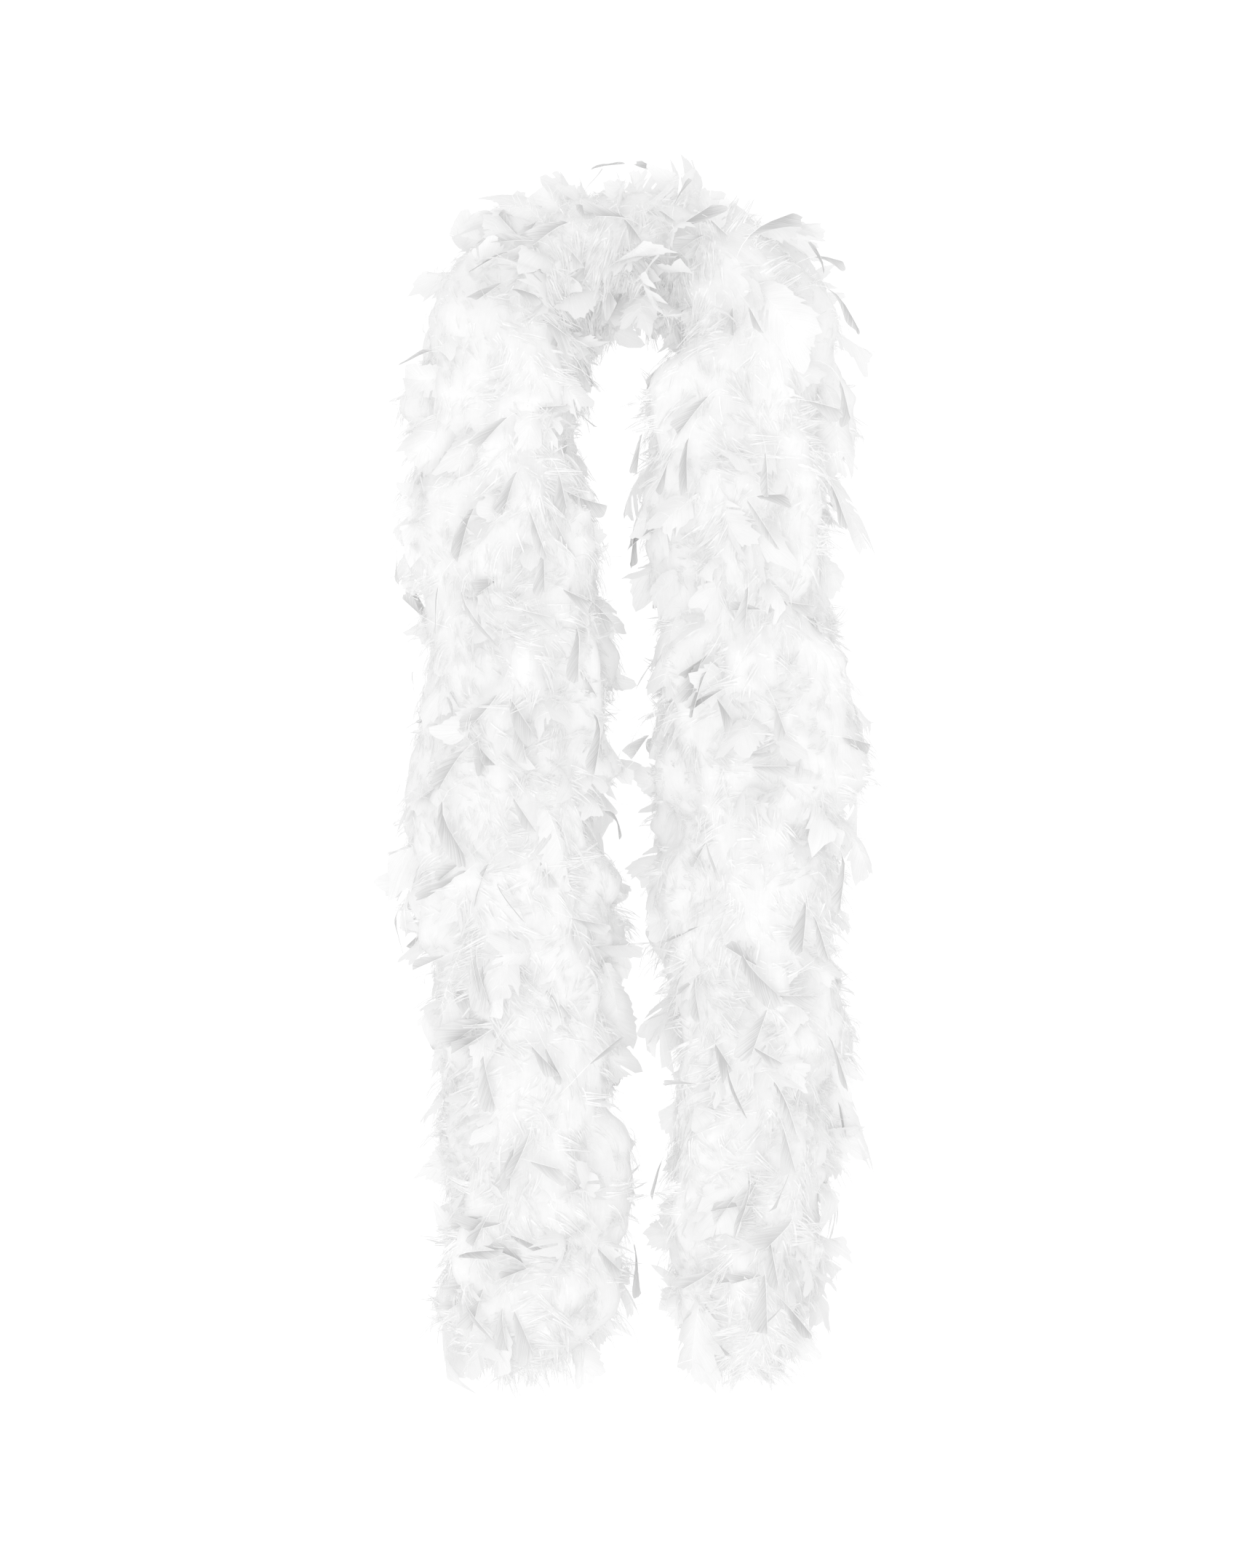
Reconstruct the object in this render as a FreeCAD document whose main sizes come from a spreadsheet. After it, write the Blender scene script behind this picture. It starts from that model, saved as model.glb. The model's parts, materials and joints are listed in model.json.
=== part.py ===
import FreeCAD, Part
import math
import os

import Sketcher

# A chandelle feather boa, hung by the middle of its length.
#
# A limp core cord runs the whole length. Feathers lie in clusters along it, their quills
# held against the cord by lashings of thread, and their down fills out a round pile.
# The middle of the boa is the neck loop, a half ring that leans back. A tail hangs
# straight down from each end of the loop. The cord bends everywhere, so each tail is cut
# into links of one length, which turn about pivots on the cord's own line.
#
# Frame: millimetres, +Z up, the front faces -Y. The origin is the underside of the pile
# at the top of the loop, where the boa rests on a neck or a peg.
# Each tail piece is drawn in its link's frame: +Z up along the cord, with zero at the
# link's lower pivot. Each loop piece is drawn flat about +Z and is then stood up.

LINKS_PER_TAIL = 5
SIDES = (("left", -1), ("right", 1))

DRIVING_SIZES = (
    ("cord_radius", 3.0),
    ("cord_gap", 1.8),
    ("loop_radius", 86.0),
    ("loop_lean", 15.0),
    ("link_pitch", 146.0),
    ("bend_limit", 45.0),
    ("pile_radius", 66.0),
    ("pile_wall", 3.0),
    ("pile_bore", 7.0),
    ("pile_gap", 0.6),
    ("loop_pile_ring", 96.0),
    ("loop_pile_radius", 58.0),
    ("loop_pile_end", 18.0),
    ("loop_pile_split", 0.4),
    ("thread_radius", 0.5),
    ("lashing_pitch", 1.15),
    ("quill_size", 1.2),
    ("quill_clearance", 0.1),
    ("quill_bound_length", 8.0),
    ("vane_width", 15.0),
    ("feather_reach", 92.0),
    ("feather_reach_inside", 79.0),
    ("loop_feather_reach", 74.0),
    ("loop_feather_reach_inside", 43.0),
    ("tuft_root_height", 24.0),
    ("tuft_reach", 42.0),
    ("tuft_drop", 53.0),
    ("knot_radius", 6.5),
    ("knot_flat_angle", 60.0),
)

# Where each cluster's lashing sits above the middle of a link, how far below the middle
# its feathers' tips hang, and how far round the cord the cluster is turned.
LINK_CLUSTERS = ((50.0, 31.0, 0.0), (12.0, 26.0, 30.0))
FEATHERS_PER_CLUSTER = 6
LOOP_CLUSTER_ANGLES = (38.0, 64.0, 90.0, 116.0, 142.0)
LOOP_TIP_DROP = 14.0
LOOP_TIP_DROP_INSIDE = 6.0
LOOP_PILE_NAMES = ("right_shoulder_down", "nape_down", "left_shoulder_down")
TUFT_FEATHERS = 8
LASHING_TURNS = 4
INWARD_SHARE = 0.35

# A feather's sections from its root to its tip: how far along, then its width as a share
# of the vane's width, then its thickness as a share of the quill's.
FEATHER_SECTIONS = (
    (0.00, 0.08, 1.00),
    (0.35, 0.09, 0.90),
    (0.50, 0.50, 0.60),
    (0.70, 1.00, 0.50),
    (0.92, 0.90, 0.40),
    (1.00, 0.50, 0.35),
)

doc = FreeCAD.newDocument("feather_boa")
sheet = doc.addObject("Spreadsheet::Sheet", "sizes")
for row, (alias, value) in enumerate(DRIVING_SIZES, 1):
    sheet.set("A%d" % row, alias)
    sheet.set("B%d" % row, str(value))
    sheet.setAlias("B%d" % row, alias)
doc.recompute()

HALF_BEND = "(sizes.bend_limit * 0.5 * 1 deg)"
LEAN = "(sizes.loop_lean * 1 deg)"
REST_RADIUS = "(sizes.loop_pile_ring - sizes.loop_pile_radius)"
LOOP_CENTRE_Y = "-%s * sin%s" % (REST_RADIUS, LEAN)
LOOP_CENTRE_Z = "-%s * cos%s" % (REST_RADIUS, LEAN)

nodes = []


def size(alias):
    return float(sheet.get(alias))


def keep(obj, node):
    """Gives an object its node's name and puts it on the list of pieces to write."""
    obj.Label = node
    nodes.append(obj)
    return obj


def place_in_link(obj, side, number, lift="0"):
    """Binds an object's place to the lower pivot of one link of a tail, or above it."""
    obj.setExpression("Placement.Base.x", "%d * sizes.loop_radius" % side)
    obj.setExpression("Placement.Base.y", LOOP_CENTRE_Y)
    obj.setExpression(
        "Placement.Base.z",
        "%s - %d * sizes.link_pitch + %s" % (LOOP_CENTRE_Z, number, lift),
    )


def place_in_loop(obj, turn=0.0):
    """Stands a flat ring piece up as the leaning loop, after a turn about its own axis."""
    stand = FreeCAD.Rotation(FreeCAD.Vector(1, 0, 0), 90.0 - size("loop_lean"))
    spin = FreeCAD.Rotation(FreeCAD.Vector(0, 0, 1), turn)
    obj.Placement = FreeCAD.Placement(loop_centre(), stand.multiply(spin))


def loop_centre():
    rest = size("loop_pile_ring") - size("loop_pile_radius")
    lean = math.radians(size("loop_lean"))
    return FreeCAD.Vector(0, -rest * math.sin(lean), -rest * math.cos(lean))


def link_base(side, number):
    """The lower pivot of a link, counted from 1 at the loop."""
    drop = FreeCAD.Vector(0, 0, -number * size("link_pitch"))
    return loop_centre() + FreeCAD.Vector(side * size("loop_radius"), 0, 0) + drop


# --- sketches -------------------------------------------------------------------------


def new_sketch(body, name):
    """A sketch on the body's own XZ plane: across is radius, up is height."""
    sketch = body.newObject("Sketcher::SketchObject", name)
    planes = [f for f in body.Origin.OriginFeatures if f.Role == "XZ_Plane"]
    sketch.AttachmentSupport = [(planes[0], "")]
    sketch.MapMode = "FlatFace"
    return sketch


def drive(sketch, constraint, expression):
    index = sketch.addConstraint(constraint)
    sketch.setExpression("Constraints[%d]" % index, expression)


def driven_polygon(sketch, corners):
    """A closed outline whose every corner is held by two expressions, across and up.
    It starts as a regular polygon of any size, and the expressions pull it to its shape."""
    count = len(corners)
    turns = [2 * math.pi * i / count for i in range(count)]
    start = [FreeCAD.Vector(50 + 20 * math.cos(a), 50 + 20 * math.sin(a), 0) for a in turns]
    for i in range(count):
        sketch.addGeometry(Part.LineSegment(start[i], start[(i + 1) % count]), False)
    for i in range(count):
        sketch.addConstraint(Sketcher.Constraint("Coincident", i, 2, (i + 1) % count, 1))
    for i, (across, up) in enumerate(corners):
        drive(sketch, Sketcher.Constraint("DistanceX", -1, 1, i, 1, start[i].x), across)
        drive(sketch, Sketcher.Constraint("DistanceY", -1, 1, i, 1, start[i].y), up)


def turn_about_axis(body, sketch, kind, angle):
    """Revolves a sketch about the body's Z axis, or grooves it out, half to each side of
    the sketch's plane."""
    turned = body.newObject("PartDesign::" + kind, sketch.Name + "_" + kind.lower())
    turned.Profile = sketch
    turned.ReferenceAxis = (sketch, ["V_Axis"])
    turned.Midplane = True
    turned.Angle = angle
    body.Tip = turned
    return turned


# --- the down: thin closed skins of the pile's outer shape -------------------------------


def cone_rise(radius):
    """How far from a pivot the pile begins at a radius: two neighbours' cones share the
    greatest bend between them, with the pile's gap to spare."""
    return "(%s * tan%s + sizes.pile_gap)" % (radius, HALF_BEND)


def link_down(side_name, side, number):
    """A link's pile, a drum whose ends are cones, so that neighbours can bend."""
    node = "%s_%d_down" % (side_name, number)
    body = doc.addObject("PartDesign::Body", node)
    sketch = new_sketch(body, node + "_profile")
    bore, outer = "sizes.pile_bore", "sizes.pile_radius"
    inner = "(sizes.pile_radius - sizes.pile_wall)"
    skin = "sizes.pile_wall / cos%s" % HALF_BEND
    top = "sizes.link_pitch"
    driven_polygon(
        sketch,
        (
            (bore, cone_rise(bore)),
            (outer, cone_rise(outer)),
            (outer, "%s - %s" % (top, cone_rise(outer))),
            (bore, "%s - %s" % (top, cone_rise(bore))),
            (bore, "%s - %s - %s" % (top, cone_rise(bore), skin)),
            (inner, "%s - %s - %s" % (top, cone_rise(inner), skin)),
            (inner, "%s + %s" % (cone_rise(inner), skin)),
            (bore, "%s + %s" % (cone_rise(bore), skin)),
        ),
    )
    turn_about_axis(body, sketch, "Revolution", 360)
    place_in_link(body, side, number)
    keep(body, node)


def driven_circle(sketch, centre, radius):
    """A circle on the sketch's across axis, its centre and radius held by expressions.
    It starts at any size, and the expressions give it its own."""
    start = FreeCAD.Vector(90.0, 0, 0)
    index = sketch.addGeometry(Part.Circle(start, FreeCAD.Vector(0, 0, 1), 20.0), False)
    sketch.addConstraint(Sketcher.Constraint("PointOnObject", index, 3, -1))
    drive(sketch, Sketcher.Constraint("DistanceX", -1, 1, index, 3, start.x), centre)
    drive(sketch, Sketcher.Constraint("Radius", index, 20.0), radius)


def loop_down(node, middle, angle):
    """One stretch of the neck loop's pile, a bent drum centred a little outside the cord,
    because feathers on the outside of a bend stand out and those inside lie flat."""
    body = doc.addObject("PartDesign::Body", node)
    wall_angle = math.degrees(size("pile_wall") / size("loop_pile_ring"))
    for part, kind, centre, radius, turn in (
        ("skin", "Revolution", "sizes.loop_pile_ring", "sizes.loop_pile_radius", angle),
        (
            "hollow",
            "Groove",
            "sizes.loop_pile_ring",
            "sizes.loop_pile_radius - sizes.pile_wall",
            angle - 2 * wall_angle,
        ),
        ("bore", "Groove", "sizes.loop_radius", "sizes.pile_bore", angle + wall_angle),
    ):
        sketch = new_sketch(body, "%s_%s" % (node, part))
        driven_circle(sketch, centre, radius)
        turn_about_axis(body, sketch, kind, turn)
    place_in_loop(body, middle)
    keep(body, node)


# --- the core cord, its end knots and the thread ------------------------------------------


def link_cord(side_name, side, number):
    node = "%s_%d_core_cord" % (side_name, number)
    cord = doc.addObject("Part::Cylinder", node)
    last = number == LINKS_PER_TAIL
    ends = 1 if last else 2
    cord.setExpression("Radius", "sizes.cord_radius")
    cord.setExpression("Height", "sizes.link_pitch - %d * sizes.cord_gap" % ends)
    place_in_link(cord, side, number, "0" if last else "sizes.cord_gap")
    keep(cord, node)


def loop_cord():
    """A half ring that stops a little short of the tails' first pivots at both ends."""
    cord = doc.addObject("Part::Torus", "loop_core_cord")
    cord.setExpression("Radius1", "sizes.loop_radius")
    cord.setExpression("Radius2", "sizes.cord_radius")
    short = math.degrees(size("cord_gap") / size("loop_radius"))
    cord.Angle3 = 180.0 - 2 * short
    place_in_loop(cord, short)
    keep(cord, "loop_core_cord")


def end_knot(side_name, side):
    """The knot below the cord's end, a ball with a flat top that the cord meets."""
    node = "%s_end_knot" % side_name
    knot = doc.addObject("Part::Sphere", node)
    knot.setExpression("Radius", "sizes.knot_radius")
    knot.setExpression("Angle2", "sizes.knot_flat_angle")
    place_in_link(
        knot,
        side,
        LINKS_PER_TAIL,
        "-sizes.knot_radius * sin(sizes.knot_flat_angle * 1 deg)",
    )
    keep(knot, node)


def lashing(name, centre, rotation):
    """Turns of thread side by side round the cord and the quills that lie on it."""
    turns = []
    for turn in range(LASHING_TURNS):
        ring = doc.addObject("Part::Torus", "%s_turn_%d" % (name, turn + 1))
        ring.setExpression(
            "Radius1",
            "sizes.cord_radius + 2 * sizes.quill_clearance + sizes.quill_size * 1.2"
            " + sizes.thread_radius",
        )
        ring.setExpression("Radius2", "sizes.thread_radius")
        shift = (turn - 0.5 * (LASHING_TURNS - 1)) * size("lashing_pitch")
        offset = rotation.multVec(FreeCAD.Vector(0, 0, shift))
        ring.Placement = FreeCAD.Placement(centre + offset, rotation)
        turns.append(ring)
    return turns


def lashings(node, places):
    group = doc.addObject("Part::Compound", node)
    group.Links = [ring for i, place in enumerate(places) for ring in lashing(
        "%s_%d" % (node, i + 1), *place)]
    return keep(group, node)


# --- feathers -----------------------------------------------------------------------------


def feather(root_height, reach, tip_height):
    """A feather that leaves the cord along it, then curves out to its tip: a quill that
    widens into a flat vane. The cord is the Z axis, and the feather lies over +X."""
    root = size("cord_radius") + size("quill_clearance") + 0.5 * size("quill_size")
    bound = size("quill_bound_length")
    base = FreeCAD.Vector(root, 0, root_height - bound)
    bend = FreeCAD.Vector(0.38 * reach, 0, root_height - 1.4 * bound)
    tip = FreeCAD.Vector(reach, 0, tip_height)
    outlines = [outline(FreeCAD.Vector(root, 0, root_height), FreeCAD.Vector(0, 0, -1), 0)]
    for number, (share, _, _) in enumerate(FEATHER_SECTIONS):
        rest = 1.0 - share
        point = base * rest**2 + bend * (2 * rest * share) + tip * share**2
        way = (bend - base) * rest + (tip - bend) * share
        if number == 0:
            way = FreeCAD.Vector(0.5, 0, -1)
        outlines.append(outline(point, way, number))
    return Part.makeLoft(outlines, True, True)


def outline(point, way, number):
    """One rectangular section of a feather, square to the way it runs."""
    _, width_share, thickness_share = FEATHER_SECTIONS[number]
    along = FreeCAD.Vector(way)
    along.normalize()
    across = FreeCAD.Vector(0, 0.5 * width_share * size("vane_width"), 0)
    through = along.cross(FreeCAD.Vector(0, 1, 0))
    through = through * (0.5 * thickness_share * size("quill_size"))
    corners = [
        point - across - through,
        point + across - through,
        point + across + through,
        point - across + through,
    ]
    return Part.makePolygon(corners + corners[:1])


def feather_group(node, feathers, placement):
    group = doc.addObject("Part::Feature", node)
    group.Shape = Part.makeCompound(feathers)
    group.Placement = placement
    return keep(group, node)


def turned(shape, azimuth):
    shape.rotate(FreeCAD.Vector(0, 0, 0), FreeCAD.Vector(0, 0, 1), azimuth)
    return shape


def around(count, start):
    return [start + 360.0 * i / count for i in range(count)]


def link_feathers(side_name, side, number):
    """Two clusters of feathers. Those that face the other tail are shorter."""
    middle = 0.5 * size("link_pitch")
    feathers = []
    for lift, drop, start in LINK_CLUSTERS:
        for azimuth in around(FEATHERS_PER_CLUSTER, start):
            inward = -side * math.cos(math.radians(azimuth)) > INWARD_SHARE
            reach = size("feather_reach_inside" if inward else "feather_reach")
            feathers.append(turned(feather(middle + lift, reach, middle - drop), azimuth))
    place = FreeCAD.Placement(link_base(side, number), FreeCAD.Rotation())
    feather_group("%s_%d_feathers" % (side_name, number), feathers, place)


def end_tuft(side_name, side):
    """Feathers that hang past the knot and hide the cord's end."""
    feathers = [
        turned(feather(size("tuft_root_height"), size("tuft_reach"), -size("tuft_drop")), a)
        for a in around(TUFT_FEATHERS, 22.5)
    ]
    place = FreeCAD.Placement(link_base(side, LINKS_PER_TAIL), FreeCAD.Rotation())
    feather_group("%s_end_tuft" % side_name, feathers, place)


def loop_frame(angle):
    """A place on the loop's cord in its flat ring: +X outwards, +Z up along the cord."""
    a = math.radians(angle)
    outwards = FreeCAD.Vector(math.cos(a), math.sin(a), 0)
    up = FreeCAD.Vector(-math.sin(a), math.cos(a), 0)
    if angle > 90.0:
        up = up * -1.0
    rotation = FreeCAD.Rotation(outwards, up.cross(outwards), up, "XZY")
    return FreeCAD.Placement(outwards * size("loop_radius"), rotation)


def loop_feathers():
    """Clusters round the loop, whose bound quills lie half above and half below a place
    on the ring. Feathers on the inside of the bend are short."""
    root = 0.5 * size("quill_bound_length")
    outside = (size("loop_feather_reach"), -LOOP_TIP_DROP)
    inside = (size("loop_feather_reach_inside"), -LOOP_TIP_DROP_INSIDE)
    feathers = []
    for angle in LOOP_CLUSTER_ANGLES:
        for azimuth in around(FEATHERS_PER_CLUSTER, 0.0):
            inward = math.cos(math.radians(azimuth)) < -INWARD_SHARE
            one = turned(feather(root, *(inside if inward else outside)), azimuth)
            one.Placement = loop_frame(angle).multiply(one.Placement)
            feathers.append(one)
    place_in_loop(feather_group("loop_feathers", feathers, FreeCAD.Placement()))


# --- the boa --------------------------------------------------------------------------------


def neck_loop():
    loop_cord()
    frames = [loop_frame(angle) for angle in LOOP_CLUSTER_ANGLES]
    place_in_loop(lashings("loop_lashings", [(f.Base, f.Rotation) for f in frames]))
    loop_feathers()
    first = size("loop_pile_end")
    stretch = (180.0 - 2 * first) / len(LOOP_PILE_NAMES)
    for i, node in enumerate(LOOP_PILE_NAMES):
        loop_down(node, first + (i + 0.5) * stretch, stretch - size("loop_pile_split"))


def tail_link(side_name, side, number):
    link_cord(side_name, side, number)
    middle = 0.5 * size("link_pitch")
    bound = 0.5 * size("quill_bound_length")
    heights = [middle + lift - bound for lift, _, _ in LINK_CLUSTERS]
    if number == LINKS_PER_TAIL:
        heights.append(size("tuft_root_height") - bound)
    places = [(FreeCAD.Vector(0, 0, z), FreeCAD.Rotation()) for z in heights]
    group = lashings("%s_%d_lashings" % (side_name, number), places)
    place_in_link(group, side, number)
    link_feathers(side_name, side, number)
    link_down(side_name, side, number)


neck_loop()
for side_name, side in SIDES:
    for number in range(1, LINKS_PER_TAIL + 1):
        tail_link(side_name, side, number)
    end_knot(side_name, side)
    end_tuft(side_name, side)

doc.recompute()

failed = [o.Name for o in doc.Objects if {"Invalid", "Error"} & set(o.State)]
if failed:
    raise RuntimeError("objects that did not compute: %s" % failed)
for node in nodes:
    if node.Shape.isNull() or not node.Shape.isValid() or not node.Shape.Solids:
        raise RuntimeError("%s has no valid solid" % node.Label)

os.makedirs("parts", exist_ok=True)
total = 0.0
for node in nodes:
    node.Shape.exportStep("parts/%s.step" % node.Label)
    total += node.Shape.Volume
low = [min(getattr(n.Shape.BoundBox, axis) for n in nodes) for axis in ("XMin", "YMin", "ZMin")]
high = [max(getattr(n.Shape.BoundBox, axis) for n in nodes) for axis in ("XMax", "YMax", "ZMax")]
cord = 2 * LINKS_PER_TAIL * size("link_pitch") + math.pi * size("loop_radius")
print("%d pieces, %.2f litres" % (len(nodes), total / 1e6))
print("box from %s to %s mm" % ([round(v, 1) for v in low], [round(v, 1) for v in high]))
print("core cord %.0f mm from knot to knot" % cord)
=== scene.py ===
import json
import math

import bpy
import numpy as np
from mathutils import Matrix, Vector


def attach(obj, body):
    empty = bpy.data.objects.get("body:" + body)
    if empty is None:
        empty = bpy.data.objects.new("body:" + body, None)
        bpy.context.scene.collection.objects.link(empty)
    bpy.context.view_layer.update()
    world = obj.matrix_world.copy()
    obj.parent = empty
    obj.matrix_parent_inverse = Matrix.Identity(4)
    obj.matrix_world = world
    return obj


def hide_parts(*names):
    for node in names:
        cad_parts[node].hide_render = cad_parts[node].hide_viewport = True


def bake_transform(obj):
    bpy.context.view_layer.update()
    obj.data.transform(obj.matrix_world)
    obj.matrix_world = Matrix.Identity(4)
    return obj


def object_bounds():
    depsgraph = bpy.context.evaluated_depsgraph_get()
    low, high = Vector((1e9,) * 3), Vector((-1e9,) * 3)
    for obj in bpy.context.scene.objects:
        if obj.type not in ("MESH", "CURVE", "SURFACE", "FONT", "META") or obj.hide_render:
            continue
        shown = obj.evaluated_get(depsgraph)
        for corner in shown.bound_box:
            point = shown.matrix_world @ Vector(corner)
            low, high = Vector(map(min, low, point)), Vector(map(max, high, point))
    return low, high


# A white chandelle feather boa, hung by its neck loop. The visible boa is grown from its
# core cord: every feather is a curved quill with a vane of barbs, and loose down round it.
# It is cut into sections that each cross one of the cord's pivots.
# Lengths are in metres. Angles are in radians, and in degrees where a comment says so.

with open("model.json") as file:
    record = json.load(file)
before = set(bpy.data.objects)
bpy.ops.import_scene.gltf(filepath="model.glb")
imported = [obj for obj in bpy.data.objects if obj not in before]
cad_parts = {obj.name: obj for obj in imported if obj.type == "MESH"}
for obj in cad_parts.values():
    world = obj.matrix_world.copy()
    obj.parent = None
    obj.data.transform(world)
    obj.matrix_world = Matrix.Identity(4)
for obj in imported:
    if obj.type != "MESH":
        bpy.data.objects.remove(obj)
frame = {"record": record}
cad_low, cad_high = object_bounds()

# --- measures from the frame ---

JOINTS = {joint["name"]: joint for joint in frame["record"]["behaviour"]["joints"]}
SIDES = (("left", -1), ("right", 1))
LINKS = 5
FULL_TURN = 2 * math.pi
DOWN = np.array([0.0, 0.0, -1.0])


def pivot(side_name, number):
    """Where one link of a tail turns on the one above it."""
    kind = "sideways" if number % 2 else "fore_aft"
    return np.array(JOINTS["%s_%d_%s" % (side_name, number, kind)]["pos_m"], float)


FIRST_LEFT, FIRST_RIGHT = pivot("left", 1), pivot("right", 1)
LOOP_CENTRE = 0.5 * (FIRST_LEFT + FIRST_RIGHT)
LOOP_RADIUS = 0.5 * float(np.linalg.norm(FIRST_RIGHT - FIRST_LEFT))
LINK_PITCH = float(FIRST_LEFT[2] - pivot("left", 2)[2])
QUARTER = 0.25 * FULL_TURN * LOOP_RADIUS

# --- camera and light ---

VIEW_MIDDLE = Vector((-0.004, LOOP_CENTRE[1], -0.350))
VIEW_DISTANCE = 2.774
LENS_MM, SENSOR_MM = 85.0, 36.0
SURROUND_STRENGTH = 1.15
VIEW_GAMMA = 2.8
LIGHT_SIZE, LIGHT_POWER = 1.4, 34.0
# Each light's name, its place and the point that it faces.
LIGHTS = (
    ("key", (-0.4, -2.7, -0.6), (0.0, 0.0, -0.25)),
    ("fill", (0.25, -1.8, -1.7), (0.0, 0.0, -0.1)),
)


def aim(thing, target):
    way = Vector(target) - thing.location
    thing.rotation_euler = way.to_track_quat("-Z", "Y").to_euler()


def new_camera():
    """Straight on and level, far enough away that the tails look parallel."""
    data = bpy.data.cameras.new("camera")
    data.lens = LENS_MM
    data.sensor_width = SENSOR_MM
    camera = bpy.data.objects.new("camera", data)
    bpy.context.collection.objects.link(camera)
    camera.location = VIEW_MIDDLE + Vector((0.0, -VIEW_DISTANCE, 0.0))
    aim(camera, VIEW_MIDDLE)
    bpy.context.scene.camera = camera


def area_light(name, place, target):
    data = bpy.data.lights.new(name, "AREA")
    data.shape = "DISK"
    data.size = LIGHT_SIZE
    data.energy = LIGHT_POWER
    light = bpy.data.objects.new(name, data)
    bpy.context.collection.objects.link(light)
    light.location = place
    aim(light, target)


def studio():
    """An even white surround and two broad soft lights in front: one at the height of the
    tails, and one below them that reaches under the arch. The gamma keeps the greys of
    white down pale, as in a bright studio."""
    world = bpy.data.worlds.new("studio")
    world.use_nodes = True
    surround = world.node_tree.nodes["Background"]
    surround.inputs["Color"].default_value = (1.0, 1.0, 1.0, 1.0)
    surround.inputs["Strength"].default_value = SURROUND_STRENGTH
    bpy.context.scene.world = world
    view = bpy.context.scene.view_settings
    view.view_transform = "Standard"
    view.gamma = VIEW_GAMMA
    for name, place, target in LIGHTS:
        area_light(name, place, target)


new_camera()
studio()

# --- the core cord's route ---
# The right half, from the top of the loop down to the knot. The left half is its mirror
# image. It is what CAD lays: a half ring that leans back, and a tail that hangs from it.

ROUTE = [
    (0.0000, 0.0127, 0.0474), (0.0269, 0.0116, 0.0433), (0.0512, 0.0084, 0.0314),
    (0.0705, 0.0034, 0.0128), (0.0828, -0.0029, -0.0107), (0.0869, -0.0084, -0.0345),
    (0.0861, -0.0100, -0.0620), (0.0858, -0.0095, -0.1150), (0.0862, -0.0101, -0.1880),
    (0.0857, -0.0096, -0.2610), (0.0863, -0.0099, -0.3350), (0.0858, -0.0095, -0.4080),
    (0.0861, -0.0102, -0.4810), (0.0859, -0.0096, -0.5540), (0.0862, -0.0100, -0.6270),
    (0.0858, -0.0097, -0.7000), (0.0860, -0.0098, -0.7667),
]
LINE_RESOLUTION = 32
CORD_DIAMETER = 0.006
CORD_RADIUS = 0.5 * CORD_DIAMETER
LOOP_LEAN = math.radians(15.0)
LOOP_NORMAL = np.array([0.0, -math.cos(LOOP_LEAN), math.sin(LOOP_LEAN)])


def unit(v):
    return v / np.linalg.norm(v, axis=-1, keepdims=True)


def square_to(v, way):
    """What is left of vectors without their part along unit directions."""
    return v - (v * way).sum(-1, keepdims=True) * way


def spun(one, two, angle):
    """Directions at angles from one square direction towards the other."""
    return one * np.cos(angle)[..., None] + two * np.sin(angle)[..., None]


def ease(x):
    """From 0 to 1, level at both ends."""
    x = np.clip(x, 0.0, 1.0)
    return x * x * (3.0 - 2.0 * x)


def smooth_line(points):
    """Points read from the smooth line that a route's points control."""
    data = bpy.data.curves.new("route", "CURVE")
    data.dimensions = "3D"
    data.resolution_u = LINE_RESOLUTION
    spline = data.splines.new("NURBS")
    spline.points.add(len(points) - 1)
    for place, point in zip(spline.points, points):
        place.co = (*point, 1.0)
    spline.order_u = 3
    spline.use_endpoint_u = True
    curve = bpy.data.objects.new("route", data)
    mesh = bpy.data.meshes.new_from_object(curve)
    line = np.array([vertex.co[:] for vertex in mesh.vertices])
    bpy.data.objects.remove(curve)
    bpy.data.curves.remove(data)
    bpy.data.meshes.remove(mesh)
    return line


LEFT_ROUTE = [(-x, y, z) for x, y, z in reversed(ROUTE[1:])]
LINE = smooth_line(LEFT_ROUTE + ROUTE)
RUN = np.concatenate([[0.0], np.cumsum(np.linalg.norm(np.diff(LINE, axis=0), axis=1))])
HALF_LENGTH = 0.5 * RUN[-1]
LINE_WAY = unit(np.gradient(LINE, RUN, axis=0))


def read_line(values, along):
    """Values read along the cord at distances from its top, below nought on the left."""
    run = HALF_LENGTH + np.asarray(along, float)
    return np.stack([np.interp(run, RUN, values[:, axis]) for axis in range(3)], axis=-1)


def cord_frames(side, along):
    """The cord's points, and its outward and downward directions there, on one side."""
    side = np.asarray(side, float)
    points = read_line(LINE, side * along)
    downward = unit(read_line(LINE_WAY, side * along) * side[..., None])
    outward = unit(np.cross(LOOP_NORMAL, downward) * side[..., None])
    return points, outward, downward


# --- sections ---
# Each is a dictionary: its name, its side, the distances along the cord from the top where
# it starts and ends, and the bodies above and below the pivot that it crosses.

FIRST_SECTION_RISE = 0.078    # how far above the first pivots the first links' sections start


def new_section(name, side, start, end, above, below=None, place=None):
    return {
        "name": name, "side": side, "start": start, "end": end,
        "above": above, "below": below, "pivot": place,
    }


def all_sections():
    shoulder = QUARTER - FIRST_SECTION_RISE
    found = [new_section("neck", 0, 0.0, shoulder, "neck_loop")]
    for side_name, side in SIDES:
        start = shoulder
        above = "neck_loop"
        for number in range(1, LINKS + 1):
            end = QUARTER + (number - 0.5) * LINK_PITCH
            below = "%s_%d" % (side_name, number)
            place = pivot(side_name, number)
            found.append(new_section(below, side, start, end, above, below, place))
            start = end
            above = below
        found.append(new_section(side_name + "_end", side, start, HALF_LENGTH, above))
    return found


SECTIONS = all_sections()


def is_neck(section):
    return section["side"] == 0


def is_end(section):
    return section["name"].endswith("_end")


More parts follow.
